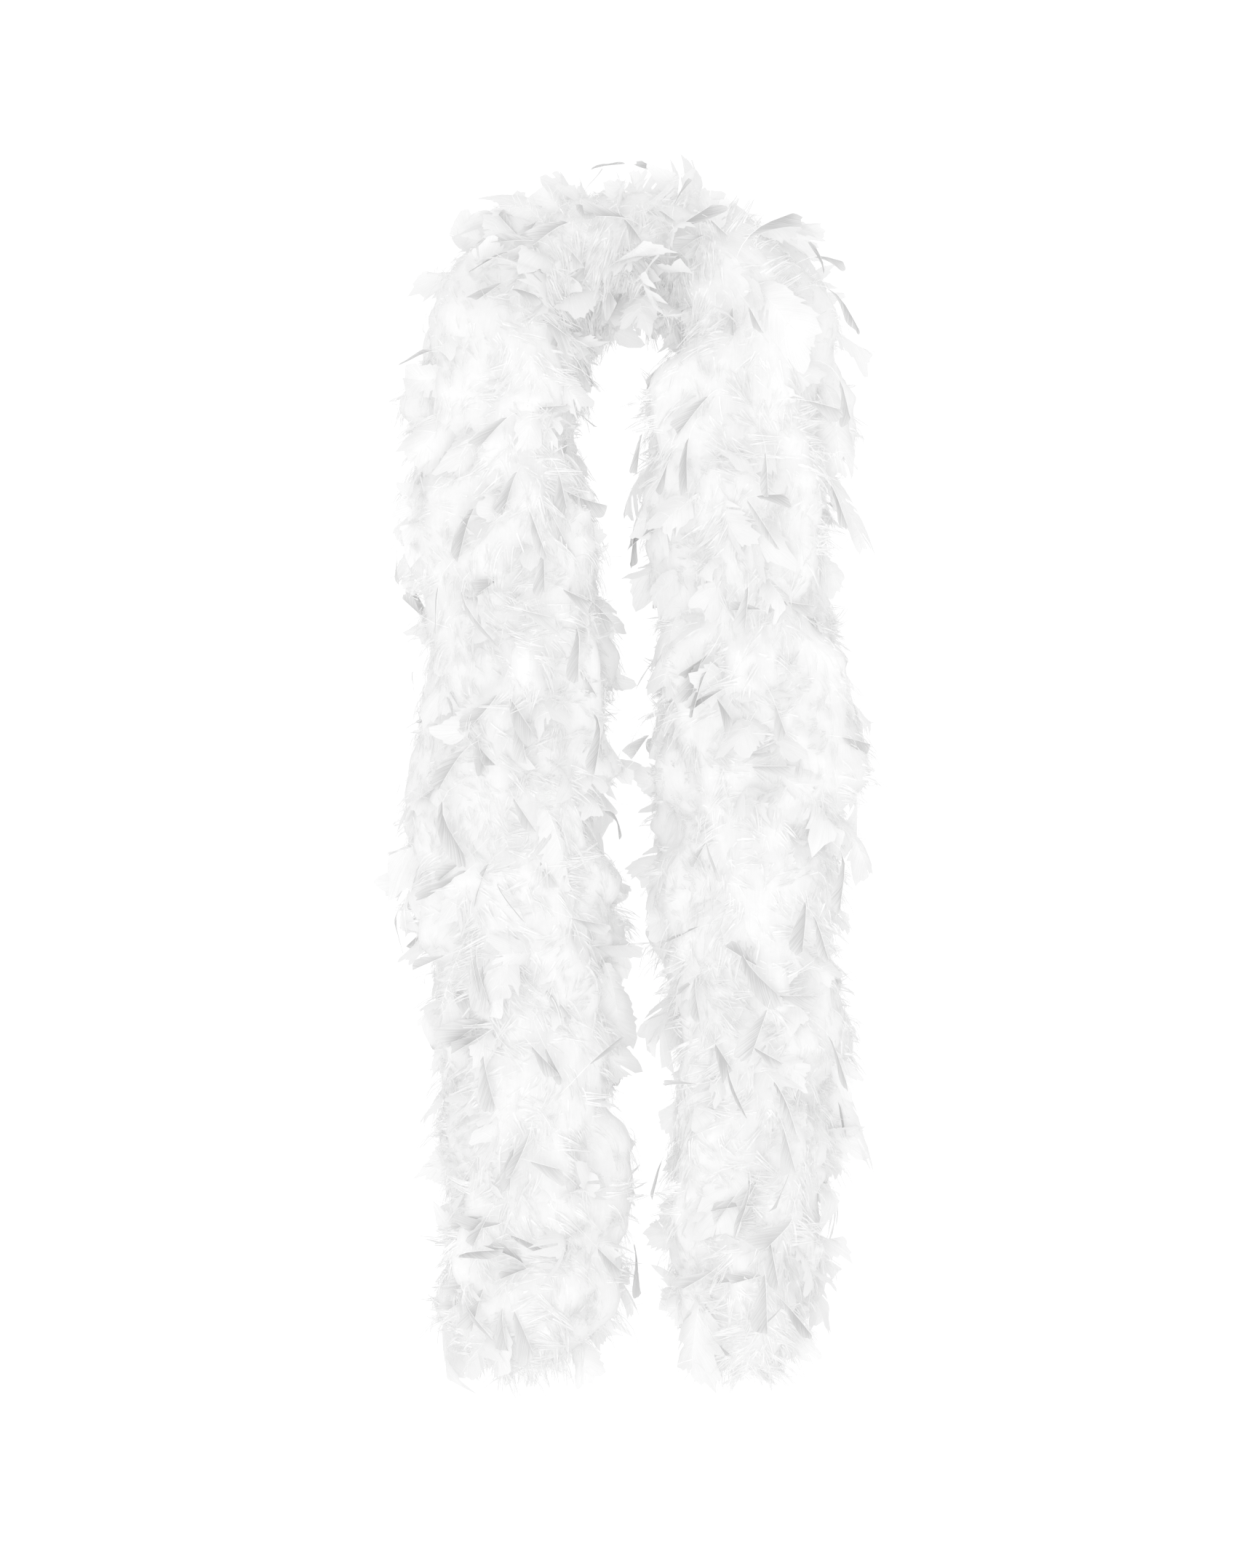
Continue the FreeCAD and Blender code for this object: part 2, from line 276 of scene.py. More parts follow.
def section_span(section):
    """A section's first and last distance along the cord, left of the top below nought."""
    if is_neck(section):
        return -section["end"], section["end"]
    return section["side"] * section["start"], section["side"] * section["end"]


def join_body(piece, section):
    """A piece rides on its section's body, or, where the section crosses a pivot, keeps its place
    with its transform applied to its mesh.
    """
    if section["below"] is None:
        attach(piece, section["above"])
        return
    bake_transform(piece)


def cad_nodes(section, kind):
    """The CAD nodes of one kind that a section's piece takes the place of."""
    name = section["name"]
    if is_neck(section):
        if kind == "down":
            return ["right_shoulder_down", "nape_down", "left_shoulder_down"]
        return ["loop_" + kind]
    if is_end(section):
        return [name + "_tuft"] if kind == "feathers" else []
    return ["%s_%s" % (name, kind)]


# --- meshes ---
# A part of a mesh is its vertices, its quads, and two numbers for each vertex that run
# along and across its barbs, for the streaks in the materials.

BARB_MAP = "barbs"
# How far apart neighbours lie on it: strips and a strip's two edges, a tube's stations, and
# feathers.
STRIP_STEP, EDGE_STEP, STATION_STEP, FEATHER_STEP = 0.37, 0.1, 0.1, 1.7


def new_piece(name, parts, material, section, kind=None):
    """A piece made of parts, with its material, slot, body and the nodes it replaces."""
    first = np.cumsum([0] + [len(part[0]) for part in parts[:-1]])
    vertices = np.concatenate([part[0] for part in parts])
    faces = np.concatenate([part[1] + start for part, start in zip(parts, first)])
    streaks = np.concatenate([part[2] for part in parts])
    mesh = bpy.data.meshes.new(name)
    mesh.vertices.add(len(vertices))
    mesh.vertices.foreach_set("co", vertices.astype(np.float32).ravel())
    mesh.loops.add(faces.size)
    mesh.loops.foreach_set("vertex_index", faces.astype(np.int32).ravel())
    mesh.polygons.add(len(faces))
    mesh.polygons.foreach_set("loop_start", 4 * np.arange(len(faces), dtype=np.int32))
    mesh.polygons.foreach_set("use_smooth", np.ones(len(faces), bool))
    layer = mesh.uv_layers.new(name=BARB_MAP)
    layer.data.foreach_set("uv", streaks[faces.ravel()].astype(np.float32).ravel())
    mesh.update(calc_edges=True)
    mesh.materials.append(material)
    piece = bpy.data.objects.new(name, mesh)
    bpy.context.collection.objects.link(piece)
    join_body(piece, section)
    if kind and cad_nodes(section, kind):
        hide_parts(*cad_nodes(section, kind))
    return piece


def ribbons(middles, halves):
    """Strips of quads whose middles and half widths are (strips, stations, 3)."""
    strips, stations, _ = middles.shape
    vertices = np.stack([middles - halves, middles + halves], axis=2).reshape(-1, 3)
    first = (np.arange(strips)[:, None] * stations + np.arange(stations - 1)) * 2
    faces = np.stack([first, first + 1, first + 3, first + 2], axis=-1).reshape(-1, 4)
    strip, station, edge = np.meshgrid(
        np.arange(strips), np.linspace(0, 1, stations), np.arange(2), indexing="ij")
    streaks = np.stack([STRIP_STEP * strip + EDGE_STEP * edge, station], axis=-1).reshape(-1, 2)
    return vertices, faces, streaks


def tubes(middles, radii, sides, one):
    """Tubes along (tubes, stations, 3) points, from a direction across each station."""
    count, stations, _ = middles.shape
    way = unit(np.gradient(middles, axis=1))
    one = unit(square_to(one, way))
    two = np.cross(way, one)
    turn = np.arange(sides) * FULL_TURN / sides
    ring = one[:, :, None] * np.cos(turn)[:, None] + two[:, :, None] * np.sin(turn)[:, None]
    vertices = middles[:, :, None] + ring * radii[..., None, None]
    side = np.arange(sides)
    low = (np.arange(count)[:, None, None] * stations + np.arange(stations - 1)[:, None]) * sides
    next_side = (side + 1) % sides
    high = low + sides
    faces = np.stack([low + side, low + next_side, high + next_side, high + side], axis=-1)
    tube, station, corner = np.meshgrid(
        np.arange(count), np.arange(stations), side, indexing="ij")
    streaks = np.stack([tube + corner / sides, STATION_STEP * station], axis=-1).reshape(-1, 2)
    return vertices.reshape(-1, 3), faces.reshape(-1, 4), streaks


# --- materials ---

SPECULAR, BUMP_STRENGTH = 0.25, 0.3
PATCH_DETAIL, STREAK_DETAIL = 3.0, 2.0
MIDDLE, CONTRAST_HALF = 1.0, 0.25    # of the sum of two noises that each run from 0 to 1
ROUGHNESS_HALF = 0.1


def new_noise(nodes, links, where, scale, detail):
    """A noise texture's value at the given coordinates."""
    texture = nodes.new("ShaderNodeTexNoise")
    texture.inputs["Scale"].default_value = scale
    texture.inputs["Detail"].default_value = detail
    links.new(where, texture.inputs["Vector"])
    return texture.outputs["Fac"]


def faded(nodes, links, barbs, value, fade):
    """A value that gains fade times the distance along each barb."""
    split = nodes.new("ShaderNodeSeparateXYZ")
    links.new(barbs, split.inputs["Vector"])
    added = nodes.new("ShaderNodeMath")
    added.operation = "MULTIPLY_ADD"
    added.inputs[1].default_value = fade
    links.new(split.outputs["Y"], added.inputs[0])
    links.new(value, added.inputs[2])
    return added.outputs["Value"]


def let_through(nodes, links, shader, tint, through):
    """Some of the light that falls on one side leaves by the other."""
    glow = nodes.new("ShaderNodeBsdfTranslucent")
    links.new(tint, glow.inputs["Color"])
    both_sides = nodes.new("ShaderNodeMixShader")
    both_sides.inputs["Fac"].default_value = through
    links.new(shader.outputs["BSDF"], both_sides.inputs[1])
    links.new(glow.outputs["BSDF"], both_sides.inputs[2])
    links.new(both_sides.outputs["Shader"], nodes["Material Output"].inputs["Surface"])


def fine_material(
        name, pale, dark, patches, streaks, through=0.0, roughness=0.65, bump_mm=0.4, fade=0.0):
    """A soft white that varies a little between dark and pale, in patches and in streaks
    along the barbs. The numbers in patches and streaks are the noises' scales. A fade over
    nought makes the barbs' tips paler than their roots, and one below nought darker."""
    material = bpy.data.materials.new(name)
    material.use_nodes = True
    nodes, links = material.node_tree.nodes, material.node_tree.links
    shader = nodes["Principled BSDF"]
    place = nodes.new("ShaderNodeTexCoord")
    patch = new_noise(nodes, links, place.outputs["Object"], patches, PATCH_DETAIL)
    barbs = nodes.new("ShaderNodeUVMap")
    barbs.uv_map = BARB_MAP
    stretch = nodes.new("ShaderNodeMapping")
    stretch.inputs["Scale"].default_value = (*streaks, 1.0)
    links.new(barbs.outputs["UV"], stretch.inputs["Vector"])
    streak = new_noise(nodes, links, stretch.outputs["Vector"], 1.0, STREAK_DETAIL)
    both = nodes.new("ShaderNodeMath")
    both.operation = "ADD"
    links.new(patch, both.inputs[0])
    links.new(streak, both.inputs[1])
    varied = both.outputs["Value"]
    if fade:
        varied = faded(nodes, links, barbs.outputs["UV"], varied, fade)
    share = nodes.new("ShaderNodeMapRange")
    share.inputs["From Min"].default_value = MIDDLE - CONTRAST_HALF + 0.5 * fade
    share.inputs["From Max"].default_value = MIDDLE + CONTRAST_HALF + 0.5 * fade
    links.new(varied, share.inputs["Value"])
    tint = nodes.new("ShaderNodeMix")
    tint.data_type = "RGBA"
    tint.inputs["A"].default_value = (dark, dark, dark, 1.0)
    tint.inputs["B"].default_value = (pale, pale, pale, 1.0)
    links.new(share.outputs["Result"], tint.inputs["Factor"])
    links.new(tint.outputs["Result"], shader.inputs["Base Color"])
    shader.inputs["Specular IOR Level"].default_value = SPECULAR
    rough = nodes.new("ShaderNodeMapRange")
    rough.inputs["To Min"].default_value = roughness + ROUGHNESS_HALF
    rough.inputs["To Max"].default_value = roughness - ROUGHNESS_HALF
    links.new(streak, rough.inputs["Value"])
    links.new(rough.outputs["Result"], shader.inputs["Roughness"])
    bump = nodes.new("ShaderNodeBump")
    bump.inputs["Strength"].default_value = BUMP_STRENGTH
    bump.inputs["Distance"].default_value = 0.001 * bump_mm
    links.new(streak, bump.inputs["Height"])
    links.new(bump.outputs["Normal"], shader.inputs["Normal"])
    if through:
        let_through(nodes, links, shader, tint.outputs["Result"], through)
    return material


VANE = fine_material(
    "vane", pale=0.80, dark=0.67, patches=40.0, streaks=(90.0, 1.0), through=0.4, fade=-0.3)
# Painted shade: a dark grey for the turned vanes that stands in for the shade on their undersides.
# Its positive fade makes each barb paler from the quill out to the vane's edge, which paints the
# shading across each blade.
PAINTED_SHADE_VANE = fine_material(
    "painted_shade_vane", pale=0.40, dark=0.15, patches=20.0, streaks=(30.0, 0.5), through=0.08,
    roughness=0.5, bump_mm=0.2, fade=0.4)
QUILL = fine_material(
    "quill", pale=0.93, dark=0.84, patches=60.0, streaks=(2.0, 2.0), roughness=0.45)
DOWN_WHITE = fine_material(
    "down_white", pale=0.92, dark=0.60, patches=160.0, streaks=(3.0, 0.5), through=0.45,
    fade=-0.4)
DOWN_MASS = fine_material(
    "down_mass", pale=0.92, dark=0.85, patches=220.0, streaks=(240.0, 30.0), through=0.5,
    roughness=0.85, bump_mm=2.0)
COTTON = fine_material(
    "cotton", pale=0.93, dark=0.82, patches=90.0, streaks=(2.0, 3.0), roughness=0.85)
THREAD = fine_material(
    "thread", pale=0.86, dark=0.74, patches=200.0, streaks=(4.0, 2.0), roughness=0.7)

# --- the core cord and its binding thread ---

PLIES, PLY_RADIUS, PLY_OFFSET, PLY_PITCH, PLY_SIDES = 3, 0.00162, 0.00148, 0.0135, 8
CORD_STEP = 0.0015
THREAD_RADIUS, THREAD_COIL_RADIUS, THREAD_PITCH, THREAD_SIDES = 0.0003, 0.0033, 0.0026, 4
THREAD_STEP = THREAD_PITCH / 9


def line_between(first, last, spacing):
    """Distances and points along the cord."""
    count = max(int(round(abs(last - first) / spacing)), 2) + 1
    along = np.linspace(first, last, count)
    return along, read_line(LINE, along)


def wound(along, middles, radius, pitch, phase, wire, sides):
    """A tube wound round the cord: a ply of its rope, or its binding thread."""
    way = read_line(LINE_WAY, along)
    one = unit(square_to(LOOP_NORMAL, way))
    spoke = spun(one, np.cross(way, one), FULL_TURN * along / pitch + phase)
    coil = middles + radius * spoke
    return tubes(coil[None], np.full((1, len(along)), wire), sides, spoke[None])


def cord_piece(section):
    first, last = section_span(section)
    along, middles = line_between(first, last, CORD_STEP)
    parts = []
    for ply in range(PLIES):
        phase = FULL_TURN * ply / PLIES
        parts.append(wound(along, middles, PLY_OFFSET, PLY_PITCH, phase, PLY_RADIUS, PLY_SIDES))
    cord = new_piece(section["name"] + "_cord", parts, COTTON, section, "core_cord")


def thread_piece(section):
    first, last = section_span(section)
    along, middles = line_between(first, last, THREAD_STEP)
    part = wound(
        along, middles, THREAD_COIL_RADIUS, THREAD_PITCH, 0.0, THREAD_RADIUS, THREAD_SIDES)
    new_piece(section["name"] + "_thread", [part], THREAD, section, "lashings")


for section in SECTIONS:
    cord_piece(section)
    thread_piece(section)

# --- the end knots ---

KNOT_SIZE, KNOT_DEPTH, KNOT_DROP, KNOT_STATIONS, KNOT_TWISTS = 0.0022, 1.6, 0.004, 97, 9
KNOT_PLY_OFFSET, KNOT_PLY_RADIUS = 0.0011, 0.0013
KNOT_NUDGE = 1e-5
FRAY_SEED, FRAYS, FRAY_STATIONS, FRAY_SPLAY, FRAY_DROP = 7, 60, 5, 0.28, 0.008
FRAY_LENGTH, FRAY_CURL, FRAY_HALF_WIDTH = (0.010, 0.018), 0.004, 0.0002
FRAY_EVENNESS, FRAY_FACING = np.array([1.0, 1.0, 0.2]), (0.0, 1.0, 0.1)


def knot_strands(end):
    """The plies of an overhand knot drawn up tight below the cord's end."""
    turn = np.linspace(0.0, FULL_TURN, KNOT_STATIONS)
    knot = KNOT_SIZE * np.stack([
        np.sin(turn) + 2 * np.sin(2 * turn),
        np.cos(turn) - 2 * np.cos(2 * turn),
        -KNOT_DEPTH * np.sin(3 * turn),
    ], axis=-1)
    middles = end + KNOT_DROP * DOWN + knot
    way = unit(np.gradient(middles, axis=0))
    one = unit(square_to(unit(knot + KNOT_NUDGE), way))
    two = np.cross(way, one)
    strands = []
    for ply in range(PLIES):
        spoke = spun(one, two, turn * KNOT_TWISTS + FULL_TURN * ply / PLIES)
        coil = middles + KNOT_PLY_OFFSET * spoke
        radii = np.full((1, KNOT_STATIONS), KNOT_PLY_RADIUS)
        strands.append(tubes(coil[None], radii, PLY_SIDES, spoke[None]))
    return strands


def frayed_tail(end):
    """The loose cotton that sticks out below the knot."""
    rng = np.random.default_rng(FRAY_SEED)
    splay = rng.normal(0, FRAY_SPLAY, (FRAYS, 3))
    way = unit(DOWN + splay * FRAY_EVENNESS)
    u = np.linspace(0, 1, FRAY_STATIONS)[:, None]
    length = rng.uniform(*FRAY_LENGTH, FRAYS)[:, None, None]
    fray = end + FRAY_DROP * DOWN + way[:, None] * length * u
    fray = fray + splay[:, None] * FRAY_CURL * u * u
    across = unit(np.cross(way, FRAY_FACING))[:, None] * FRAY_HALF_WIDTH
    return ribbons(fray, np.broadcast_to(across, fray.shape))


def knot_piece(section):
    end = read_line(LINE, section["side"] * HALF_LENGTH)
    parts = knot_strands(end) + [frayed_tail(end)]
    name = section["name"] + "_tied_knot"
    knot = new_piece(name, parts, COTTON, section)
    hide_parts(section["name"] + "_knot")


for section in SECTIONS:
    if is_end(section):
        knot_piece(section)

# --- the outline of the pile ---
# How full the boa is where it hangs: a height, and how far the pile reaches there to the
# outside and to the inside, which is towards the other tail.

TAIL_OUTLINES = {
    -1: (
        (-0.03, 0.088, 0.046), (-0.07, 0.092, 0.048), (-0.12, 0.088, 0.068),
        (-0.21, 0.076, 0.068), (-0.31, 0.080, 0.080), (-0.36, 0.088, 0.070),
        (-0.47, 0.080, 0.082), (-0.53, 0.064, 0.062), (-0.61, 0.066, 0.084),
        (-0.68, 0.062, 0.084), (-0.77, 0.064, 0.078),
    ),
    1: (
        (-0.03, 0.074, 0.098), (-0.07, 0.082, 0.100), (-0.14, 0.068, 0.088),
        (-0.21, 0.066, 0.070), (-0.30, 0.090, 0.080), (-0.40, 0.086, 0.074),
        (-0.48, 0.070, 0.074), (-0.56, 0.078, 0.066), (-0.64, 0.066, 0.062),
        (-0.70, 0.060, 0.056), (-0.77, 0.050, 0.058),
    ),
}
TOP_REACH, SHOULDER_REACH, NAPE_REACH, DEPTH_REACH = 0.063, 0.086, 0.048, 0.070
SHOULDER_SPAN = 0.7 * QUARTER
HANG_START, HANG_SPAN = 0.05, 0.06    # how far above the pivots a tail's outline takes over
ARCH_START = 0.2
LUMPS, LUMP_PITCH, LUMPS_LOST = 0.017, 0.040, 0.6


def pile_reach(side, heights, along, outwardness):
    """How far the pile's surface stands from the cord, in a direction whose share of the
    outward direction is outwardness."""
    reach = np.zeros((2, *along.shape))
    for each, outline in TAIL_OUTLINES.items():
        table = np.array(outline)[::-1]
        mine = side == each
        for column in (0, 1):
            values = np.interp(heights, table[:, 0], table[:, column + 1])
            reach[column, mine] = values[mine]
    shoulder = TOP_REACH + (SHOULDER_REACH - TOP_REACH) * ease(along / SHOULDER_SPAN)
    hung = ease((along - QUARTER + HANG_START) / HANG_SPAN)
    outer = shoulder + (reach[0] - shoulder) * hung
    inner = NAPE_REACH + (reach[1] - NAPE_REACH) * hung
    lean = outwardness * outwardness
    return DEPTH_REACH * (1.0 - lean) + lean * np.where(outwardness > 0, outer, inner)


def arch_share(along):
    """1 over the top of the loop, and 0 from a little below the first pivots."""
    return 1.0 - ease(along / QUARTER - ARCH_START)


# --- the soft surface of the down ---
# Places on it are signed distances along the cord, and angles round it from its outward
# side. The noise is a table of cells that closes up round the cord.

NOISE_SEED, NOISE_ROWS, NOISE_CELLS_ROUND = 5, 97, 15
LAYERS = LUMP_LAYER, DIMPLE_LAYER, COMB_LAYER, RUFFLE_LAYER = 0, 1, 2, 3
NOISE_SHAPE = (len(LAYERS), NOISE_ROWS, NOISE_CELLS_ROUND)
NOISE_TABLE = np.random.default_rng(NOISE_SEED).uniform(-1, 1, NOISE_SHAPE)
FIRST_ROW = 400.0    # at the cord's top, so that no row is below nought
DIMPLES, DIMPLE_PITCH, DIMPLES_ROUND = 0.004, 0.013, 3.0
SKIN_SHARE, SKIN_SHARE_LOST, SKIN_ARCH_START = 0.83, 0.09, 0.3
SKIN_ROUNDING, SKIN_TAIL = 0.045, 0.022
SKIN_STEP, SKIN_COLUMNS = 0.003, 84
SKIN_STREAK_RUN = 0.5


def surface_noise(layer, signed, angle, pitch):
    """Smooth noise from -1 to 1."""
    row = signed / pitch + FIRST_ROW
    column = angle / FULL_TURN * NOISE_CELLS_ROUND
    low_row, low_column = np.floor(row).astype(int), np.floor(column).astype(int)
    along_cord, round_cord = ease(row - low_row), ease(column - low_column)
    values = NOISE_TABLE[layer]

    def cell(rows, columns):
        return values[rows % NOISE_ROWS, columns % NOISE_CELLS_ROUND]

    first = cell(low_row, low_column) * (1 - along_cord)
    first = first + cell(low_row + 1, low_column) * along_cord
    last = cell(low_row, low_column + 1) * (1 - along_cord)
    last = last + cell(low_row + 1, low_column + 1) * along_cord
    return first * (1 - round_cord) + last * round_cord


def lumps(signed, angle, arch):
    """How far the pile swells or sinks. Its lumps are flatter on the arch."""
    return LUMPS * surface_noise(LUMP_LAYER, signed, angle, LUMP_PITCH) * (1.0 - LUMPS_LOST * arch)


class Surface:
    """Points on the lumpy skin round the cord, and how it lies there."""

    def __init__(self, signed, angle, share):
        """share is how deep the skin lies, beside the full reach of the feathers."""
        along = np.abs(signed)
        side = np.where(signed < 0, -1, 1)
        inside = np.minimum(along, HALF_LENGTH)
        middles, outward, downward = cord_frames(side, inside)
        middles = middles + DOWN * (along - inside)[..., None]
        self.radial = spun(outward, np.cross(downward * side[..., None], outward), angle)
        self.downward = downward
        self.round_cord = np.cross(downward, self.radial)
        share = share - SKIN_SHARE_LOST * (1.0 - ease(along / QUARTER - SKIN_ARCH_START))
        reach = pile_reach(side, middles[..., 2], along, np.cos(angle)) * share
        swell = lumps(signed, angle, arch_share(along))
        dimples = surface_noise(DIMPLE_LAYER, signed, DIMPLES_ROUND * angle, DIMPLE_PITCH)
        swell = swell + DIMPLES * dimples
        past = (along - HALF_LENGTH + SKIN_ROUNDING) / (SKIN_ROUNDING + SKIN_TAIL)
        rounding = np.sqrt(1 - past.clip(0, 1) ** 2)
        self.points = middles + self.radial * ((reach + swell) * rounding)[..., None]


def skin_span(section):
    """A section's span, which goes on past the knot to the skin's rounded end."""
    first, last = section_span(section)
    if is_end(section):
        last = last + section["side"] * SKIN_TAIL
    return first, last


def skin(section):
    """The lumpy mass that the finest down makes, too dense to see into."""
    first, last = skin_span(section)
    rings = max(int(abs(last - first) / SKIN_STEP), 2) + 1
    columns = SKIN_COLUMNS
    signed = np.repeat(np.linspace(first, last, rings)[:, None], columns, axis=1)
    angle = np.repeat((np.arange(columns) * FULL_TURN / columns)[None], rings, axis=0)
    points = Surface(signed, angle, SKIN_SHARE).points
    ring, column = np.meshgrid(np.arange(rings - 1), np.arange(columns), indexing="ij")
    low = ring * columns + column
    beside = ring * columns + (column + 1) % columns
    faces = np.stack([low, low + columns, beside + columns, beside], axis=-1).reshape(-1, 4)
    streaks = np.stack([angle / FULL_TURN, signed / SKIN_STREAK_RUN], axis=-1)
    return points.reshape(-1, 3), faces, streaks.reshape(-1, 2)


# --- the kinds of feather ---


def feather_kind(given):
    """What sets one kind of feather apart. All angles are in degrees.

    per_metre: how many grow on a metre of cord.
    reach, short: how far they stand out, beside the pile's outline, less some metres.
    from, to, bend: how far the quill leans out from the way that it droops, at its root
        and at its tip, and the two shares of its length that it turns between.
    curl: how much more it leans at the very tip.
    turn, ahead: the spread of the ways that feathers droop, and the turn of their middle.
    swirl, roll: the spread of how far the quill goes round the cord, and the vane round it.
    facing: grown on the front and the back, with this spread in radians.
    around: grown about this angle round the cord, with this spread, both in radians.
    clear: roots are at least about this far above the knot.
    raised, tucked: on the arch, the share of the usual extra lean, and of lost reach.
    """
    usual = {
        "short": 0.0, "ahead": 0.0, "facing": None, "around": None, "clear": 0.0,
        "raised": 1.0, "tucked": 0.0,
    }
    return {**usual, **given}


LYING = feather_kind({
    "per_metre": 105, "reach": (0.86, 1.03), "from": (70, 100), "to": (0, 38),
    "curl": (-15, 35), "turn": 42.0, "swirl": 30.0, "roll": 26.0, "bend": (0.15, 0.75),
})
STANDING = feather_kind({
    "per_metre": 140, "reach": (0.84, 1.08), "from": (60, 98), "to": (25, 75),
    "curl": (-25, 40), "turn": 38.0, "swirl": 34.0, "roll": 55.0, "bend": (0.1, 1.0),
})
DOWNY = feather_kind({
    "per_metre": 110, "reach": (0.86, 1.04), "short": 0.004, "from": (60, 98), "to": (15, 70),
    "curl": (-40, 50), "turn": 40.0, "swirl": 40.0, "roll": 60.0, "bend": (0.0, 1.0),
})
TURNED = feather_kind({
    "per_metre": 180, "reach": (1.08, 1.19), "from": (75, 100), "to": (-14, 10),
    "curl": (-12, 14), "turn": 55.0, "swirl": 36.0, "roll": 18.0, "bend": (0.42, 0.86),
    "facing": 0.5, "clear": 0.05, "raised": 0.0, "tucked": 0.14,
})
# These grow on the arch only, where its extra turn makes theirs a spread of about 25.
HANGING = feather_kind({
    "per_metre": 30, "reach": (1.0, 1.45), "from": (60, 90), "to": (40, 90),
    "curl": (-30, 30), "turn": -20.0, "swirl": 20.0, "roll": 30.0, "bend": (0.1, 1.0),
    "around": (2.6, 0.45), "ahead": 90.0,
})

# A vane's style. Its rows are barbs, with stations along each. "start" is the share of the
# quill that is bare. The rows slant from the quill by "slant" degrees at the first row and
# the last, "wander" degrees either way, and past the share "fan" they fan round the tip.
# The vane is at its full width from the share "full", and loses "taper" of it at the tip.
# Its end is cut "cut" widths past the quill, slanting by up to "skew". "teeth" is how much
# shorter odd barbs are, "cup" and "wave" bend the sheet, and "splits" is the share of rows
# that part. A pair of numbers is drawn from for each feather, apart from "slant".
BROAD_VANE = {
    "rows": 26, "stations": 4, "width": (0.008, 0.019), "start": (0.36, 0.52), "fan": 0.66,
    "slant": (64.0, 42.0), "wander": 4.0, "cut": 0.5, "teeth": 0.08, "cup": (0.05, 0.6),
    "wave": 0.003, "splits": 0.06, "full": 0.45, "skew": 0.5, "taper": 0.0,
}
NARROW_VANE = {
    "rows": 18, "stations": 3, "width": (0.005, 0.014), "start": (0.62, 0.80), "fan": 0.85,
    "slant": (40.0, 30.0), "wander": 1.5, "cut": 0.3, "teeth": 0.0, "cup": (-0.2, 0.3),
    "wave": 0.001, "splits": 0.0, "full": 0.6, "skew": 1.0, "taper": 0.85,
}

# The loose barbs on one quill: how many, the share of its length that they start from, how
# long the longest are on one feather or another, and how wide a barb is.
BROAD_DOWN = {"barbs": 44, "start": 0.35, "long": (0.010, 0.026), "wide": 0.0005}
DOWNY_DOWN = {"barbs": 60, "start": 0.4, "long": (0.012, 0.026), "wide": 0.0004}


def drawn_style(rng, style, count):
    """A vane's style with a value for each feather drawn from each of its ranges."""
    found = dict(style)
    for key in ("width", "start", "cup"):
        found[key] = rng.uniform(*style[key], count)
    return found


# --- feathers ---

QUILL_RADIUS, QUILL_TIP_SHARE, QUILL_SIDES, BOUND_LENGTH = 0.00035, 0.25, 3, 0.007
SHAPE_FIRST, SHAPE_POWER, TAPER_START, TAPER_POWER = 0.1, 0.7, 0.45, 1.5
LEAST_SINE, LEAST_END_SLOPE = 0.05, 0.15    # they keep the barbs' lengths finite
CUT_SPREAD, TOOTH_SPREAD, TOOTH_LIMITS, EDGE_WANDER = (0.5, 1.2), 0.8, (0.5, 1.3), 0.08
BARB_SWEEP = 0.14             # how far each barb bends on towards the tip
WANDER_SPREAD, SLANT_KNOTS, EDGE_KNOTS, WAVE_KNOTS = 0.6, 5, 4, 4
TIP_CURL_POWER, WAVE_POWER = 4, 1.5
DOWN_ANGLES = (35.0, 85.0)    # degrees from the quill
DOWN_SHARES = (0.45, 1.1)     # of the feather's longest barb
DOWN_STATIONS = 5
DOWN_FLATNESS, DOWN_THINNING = 0.7, 0.7
DOWN_SHORTENING, DOWN_CURL, DOWN_SAG = 0.18, 0.38, 0.22


def smooth_noise(rng, count, rows, knots):
    """Values that wander smoothly along each row of a batch, from about -1 to 1."""
    coarse = rng.normal(0, WANDER_SPREAD, (count, knots + 1))
    place = np.linspace(0, knots, rows)
    low = np.minimum(place.astype(int), knots - 1)
    part = ease(place - low)
    return coarse[:, low] * (1 - part) + coarse[:, low + 1] * part


def quill_lean(measures, share):
    """How far each quill leans out from its droop direction, at shares along it. Between
    the two shares of "bend" it turns from its first lean to its last."""
    first, last = measures["from"][:, None], measures["to"][:, None]
    begin, end = measures["bend"]
    turned = ease((share - begin) / (end - begin))
    return first + (last - first) * turned + measures["curl"][:, None] * share**TIP_CURL_POWER


